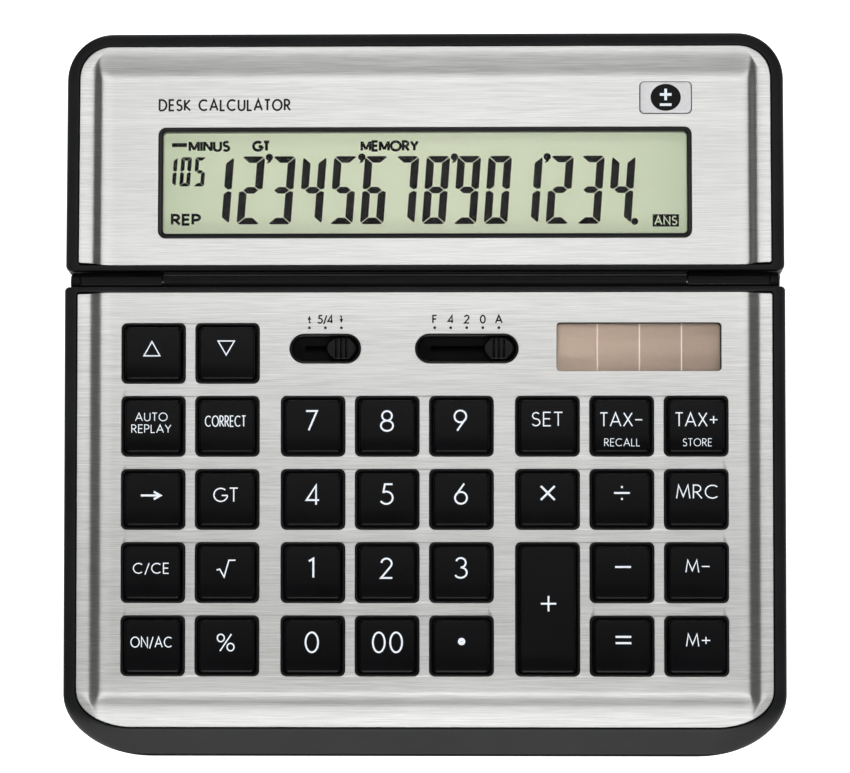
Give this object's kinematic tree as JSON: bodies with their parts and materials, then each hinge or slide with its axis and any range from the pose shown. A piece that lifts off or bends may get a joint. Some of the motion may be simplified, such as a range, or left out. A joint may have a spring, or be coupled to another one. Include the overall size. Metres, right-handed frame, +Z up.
{
  "type": "desk calculator",
  "caption": "Desk calculator with a wedge-shaped keypad base, sprung keys, slide switches and a tilting LCD housing on a barrel hinge.",
  "frame": {"origin": "on the desk surface, under the middle of the whole object's plan", "axes": "+X to the user's right, +Y away from the user, +Z up"},
  "size_m": [0.1848, 0.1854, 0.0248],
  "materials": {
    "black_plastic": "satin black moulded ABS, fine texture",
    "brushed_aluminium": "anodised, brushed left to right",
    "key_plastic": "smooth black with printed light legends",
    "knob_plastic": "smooth black",
    "circuit_board": "green solder mask",
    "silicone": "translucent grey silicone",
    "solar_cells": "amorphous silicon on glass, brown",
    "clear_plastic": "clear acrylic, polished",
    "lcd_glass": "grey-green reflective liquid crystal",
    "badge_metal": "silver with dark print",
    "rubber": "black non-slip",
    "steel": "plain",
    "screw_steel": "black zinc",
    "spring_brass": "nickel-free spring strip",
    "cable_sheath": "black PVC"
  },
  "bodies": {
    "base": {"bottom_case": "black_plastic", "keypad_housing": "black_plastic", "keypad_plate": "brushed_aluminium", "main_board": "circuit_board", "dome_mat": "silicone", "solar_panel": "solar_cells", "solar_window": "clear_plastic", "battery_cover": "black_plastic", "button_cell": "steel", "battery_contacts": "spring_brass", "base_feet": "rubber", "case_screws": "screw_steel", "hinge_pins": "steel", "hinge_caps": "black_plastic", "switch_bodies": "steel", "display_cable": "cable_sheath"},
    "display": {"display_housing": "black_plastic", "display_rear": "black_plastic", "display_plate": "brushed_aluminium", "lcd_window": "clear_plastic", "lcd_panel": "lcd_glass", "display_board": "circuit_board", "badge": "badge_metal", "display_screws": "screw_steel", "display_feet": "rubber"},
    "rounding_switch": {"rounding_knob": "knob_plastic"},
    "decimal_switch": {"decimal_knob": "knob_plastic"},
    "key_up": {"key_up": "key_plastic"},
    "key_down": {"key_down": "key_plastic"},
    "key_auto_replay": {"key_auto_replay": "key_plastic"},
    "key_correct": {"key_correct": "key_plastic"},
    "key_7": {"key_7": "key_plastic"},
    "key_8": {"key_8": "key_plastic"},
    "key_9": {"key_9": "key_plastic"},
    "key_set": {"key_set": "key_plastic"},
    "key_tax_minus": {"key_tax_minus": "key_plastic"},
    "key_tax_plus": {"key_tax_plus": "key_plastic"},
    "key_back": {"key_back": "key_plastic"},
    "key_grand_total": {"key_grand_total": "key_plastic"},
    "key_4": {"key_4": "key_plastic"},
    "key_5": {"key_5": "key_plastic"},
    "key_6": {"key_6": "key_plastic"},
    "key_multiply": {"key_multiply": "key_plastic"},
    "key_divide": {"key_divide": "key_plastic"},
    "key_memory_recall": {"key_memory_recall": "key_plastic"},
    "key_clear": {"key_clear": "key_plastic"},
    "key_square_root": {"key_square_root": "key_plastic"},
    "key_1": {"key_1": "key_plastic"},
    "key_2": {"key_2": "key_plastic"},
    "key_3": {"key_3": "key_plastic"},
    "key_plus": {"key_plus": "key_plastic"},
    "key_minus": {"key_minus": "key_plastic"},
    "key_memory_minus": {"key_memory_minus": "key_plastic"},
    "key_on": {"key_on": "key_plastic"},
    "key_percent": {"key_percent": "key_plastic"},
    "key_0": {"key_0": "key_plastic"},
    "key_00": {"key_00": "key_plastic"},
    "key_point": {"key_point": "key_plastic"},
    "key_equals": {"key_equals": "key_plastic"},
    "key_memory_plus": {"key_memory_plus": "key_plastic"}
  },
  "joints": [
    {"name": "display_tilt", "type": "hinge", "parent": "base", "child": "display", "pos_m": [0, 0.02845, 0.0184], "axis": [1, 0, 0], "range_deg": [0, 45]},
    {"name": "rounding_slide", "type": "slide", "parent": "base", "child": "rounding_switch", "axis": [1, 0, 0], "range_m": [-0.00822, 0]},
    {"name": "decimal_slide", "type": "slide", "parent": "base", "child": "decimal_switch", "axis": [1, 0, 0], "range_m": [-0.01644, 0]},
    {"name": "key_up_press", "type": "slide", "parent": "base", "child": "key_up", "axis": [0, 0.0872, -0.9962], "range_m": [0, 0.0016], "stiffness_N_per_m": 350, "deforming": ["dome_mat"]},
    {"name": "key_down_press", "type": "slide", "parent": "base", "child": "key_down", "axis": [0, 0.0872, -0.9962], "range_m": [0, 0.0016], "stiffness_N_per_m": 350, "deforming": ["dome_mat"]},
    {"name": "key_auto_replay_press", "type": "slide", "parent": "base", "child": "key_auto_replay", "axis": [0, 0.0872, -0.9962], "range_m": [0, 0.0016], "stiffness_N_per_m": 350, "deforming": ["dome_mat"]},
    {"name": "key_correct_press", "type": "slide", "parent": "base", "child": "key_correct", "axis": [0, 0.0872, -0.9962], "range_m": [0, 0.0016], "stiffness_N_per_m": 350, "deforming": ["dome_mat"]},
    {"name": "key_7_press", "type": "slide", "parent": "base", "child": "key_7", "axis": [0, 0.0872, -0.9962], "range_m": [0, 0.0016], "stiffness_N_per_m": 350, "deforming": ["dome_mat"]},
    {"name": "key_8_press", "type": "slide", "parent": "base", "child": "key_8", "axis": [0, 0.0872, -0.9962], "range_m": [0, 0.0016], "stiffness_N_per_m": 350, "deforming": ["dome_mat"]},
    {"name": "key_9_press", "type": "slide", "parent": "base", "child": "key_9", "axis": [0, 0.0872, -0.9962], "range_m": [0, 0.0016], "stiffness_N_per_m": 350, "deforming": ["dome_mat"]},
    {"name": "key_set_press", "type": "slide", "parent": "base", "child": "key_set", "axis": [0, 0.0872, -0.9962], "range_m": [0, 0.0016], "stiffness_N_per_m": 350, "deforming": ["dome_mat"]},
    {"name": "key_tax_minus_press", "type": "slide", "parent": "base", "child": "key_tax_minus", "axis": [0, 0.0872, -0.9962], "range_m": [0, 0.0016], "stiffness_N_per_m": 350, "deforming": ["dome_mat"]},
    {"name": "key_tax_plus_press", "type": "slide", "parent": "base", "child": "key_tax_plus", "axis": [0, 0.0872, -0.9962], "range_m": [0, 0.0016], "stiffness_N_per_m": 350, "deforming": ["dome_mat"]},
    {"name": "key_back_press", "type": "slide", "parent": "base", "child": "key_back", "axis": [0, 0.0872, -0.9962], "range_m": [0, 0.0016], "stiffness_N_per_m": 350, "deforming": ["dome_mat"]},
    {"name": "key_grand_total_press", "type": "slide", "parent": "base", "child": "key_grand_total", "axis": [0, 0.0872, -0.9962], "range_m": [0, 0.0016], "stiffness_N_per_m": 350, "deforming": ["dome_mat"]},
    {"name": "key_4_press", "type": "slide", "parent": "base", "child": "key_4", "axis": [0, 0.0872, -0.9962], "range_m": [0, 0.0016], "stiffness_N_per_m": 350, "deforming": ["dome_mat"]},
    {"name": "key_5_press", "type": "slide", "parent": "base", "child": "key_5", "axis": [0, 0.0872, -0.9962], "range_m": [0, 0.0016], "stiffness_N_per_m": 350, "deforming": ["dome_mat"]},
    {"name": "key_6_press", "type": "slide", "parent": "base", "child": "key_6", "axis": [0, 0.0872, -0.9962], "range_m": [0, 0.0016], "stiffness_N_per_m": 350, "deforming": ["dome_mat"]},
    {"name": "key_multiply_press", "type": "slide", "parent": "base", "child": "key_multiply", "axis": [0, 0.0872, -0.9962], "range_m": [0, 0.0016], "stiffness_N_per_m": 350, "deforming": ["dome_mat"]},
    {"name": "key_divide_press", "type": "slide", "parent": "base", "child": "key_divide", "axis": [0, 0.0872, -0.9962], "range_m": [0, 0.0016], "stiffness_N_per_m": 350, "deforming": ["dome_mat"]},
    {"name": "key_memory_recall_press", "type": "slide", "parent": "base", "child": "key_memory_recall", "axis": [0, 0.0872, -0.9962], "range_m": [0, 0.0016], "stiffness_N_per_m": 350, "deforming": ["dome_mat"]},
    {"name": "key_clear_press", "type": "slide", "parent": "base", "child": "key_clear", "axis": [0, 0.0872, -0.9962], "range_m": [0, 0.0016], "stiffness_N_per_m": 350, "deforming": ["dome_mat"]},
    {"name": "key_square_root_press", "type": "slide", "parent": "base", "child": "key_square_root", "axis": [0, 0.0872, -0.9962], "range_m": [0, 0.0016], "stiffness_N_per_m": 350, "deforming": ["dome_mat"]},
    {"name": "key_1_press", "type": "slide", "parent": "base", "child": "key_1", "axis": [0, 0.0872, -0.9962], "range_m": [0, 0.0016], "stiffness_N_per_m": 350, "deforming": ["dome_mat"]},
    {"name": "key_2_press", "type": "slide", "parent": "base", "child": "key_2", "axis": [0, 0.0872, -0.9962], "range_m": [0, 0.0016], "stiffness_N_per_m": 350, "deforming": ["dome_mat"]},
    {"name": "key_3_press", "type": "slide", "parent": "base", "child": "key_3", "axis": [0, 0.0872, -0.9962], "range_m": [0, 0.0016], "stiffness_N_per_m": 350, "deforming": ["dome_mat"]},
    {"name": "key_plus_press", "type": "slide", "parent": "base", "child": "key_plus", "axis": [0, 0.0872, -0.9962], "range_m": [0, 0.0016], "stiffness_N_per_m": 350, "deforming": ["dome_mat"]},
    {"name": "key_minus_press", "type": "slide", "parent": "base", "child": "key_minus", "axis": [0, 0.0872, -0.9962], "range_m": [0, 0.0016], "stiffness_N_per_m": 350, "deforming": ["dome_mat"]},
    {"name": "key_memory_minus_press", "type": "slide", "parent": "base", "child": "key_memory_minus", "axis": [0, 0.0872, -0.9962], "range_m": [0, 0.0016], "stiffness_N_per_m": 350, "deforming": ["dome_mat"]},
    {"name": "key_on_press", "type": "slide", "parent": "base", "child": "key_on", "axis": [0, 0.0872, -0.9962], "range_m": [0, 0.0016], "stiffness_N_per_m": 350, "deforming": ["dome_mat"]},
    {"name": "key_percent_press", "type": "slide", "parent": "base", "child": "key_percent", "axis": [0, 0.0872, -0.9962], "range_m": [0, 0.0016], "stiffness_N_per_m": 350, "deforming": ["dome_mat"]},
    {"name": "key_0_press", "type": "slide", "parent": "base", "child": "key_0", "axis": [0, 0.0872, -0.9962], "range_m": [0, 0.0016], "stiffness_N_per_m": 350, "deforming": ["dome_mat"]},
    {"name": "key_00_press", "type": "slide", "parent": "base", "child": "key_00", "axis": [0, 0.0872, -0.9962], "range_m": [0, 0.0016], "stiffness_N_per_m": 350, "deforming": ["dome_mat"]},
    {"name": "key_point_press", "type": "slide", "parent": "base", "child": "key_point", "axis": [0, 0.0872, -0.9962], "range_m": [0, 0.0016], "stiffness_N_per_m": 350, "deforming": ["dome_mat"]},
    {"name": "key_equals_press", "type": "slide", "parent": "base", "child": "key_equals", "axis": [0, 0.0872, -0.9962], "range_m": [0, 0.0016], "stiffness_N_per_m": 350, "deforming": ["dome_mat"]},
    {"name": "key_memory_plus_press", "type": "slide", "parent": "base", "child": "key_memory_plus", "axis": [0, 0.0872, -0.9962], "range_m": [0, 0.0016], "stiffness_N_per_m": 350, "deforming": ["dome_mat"]}
  ]
}
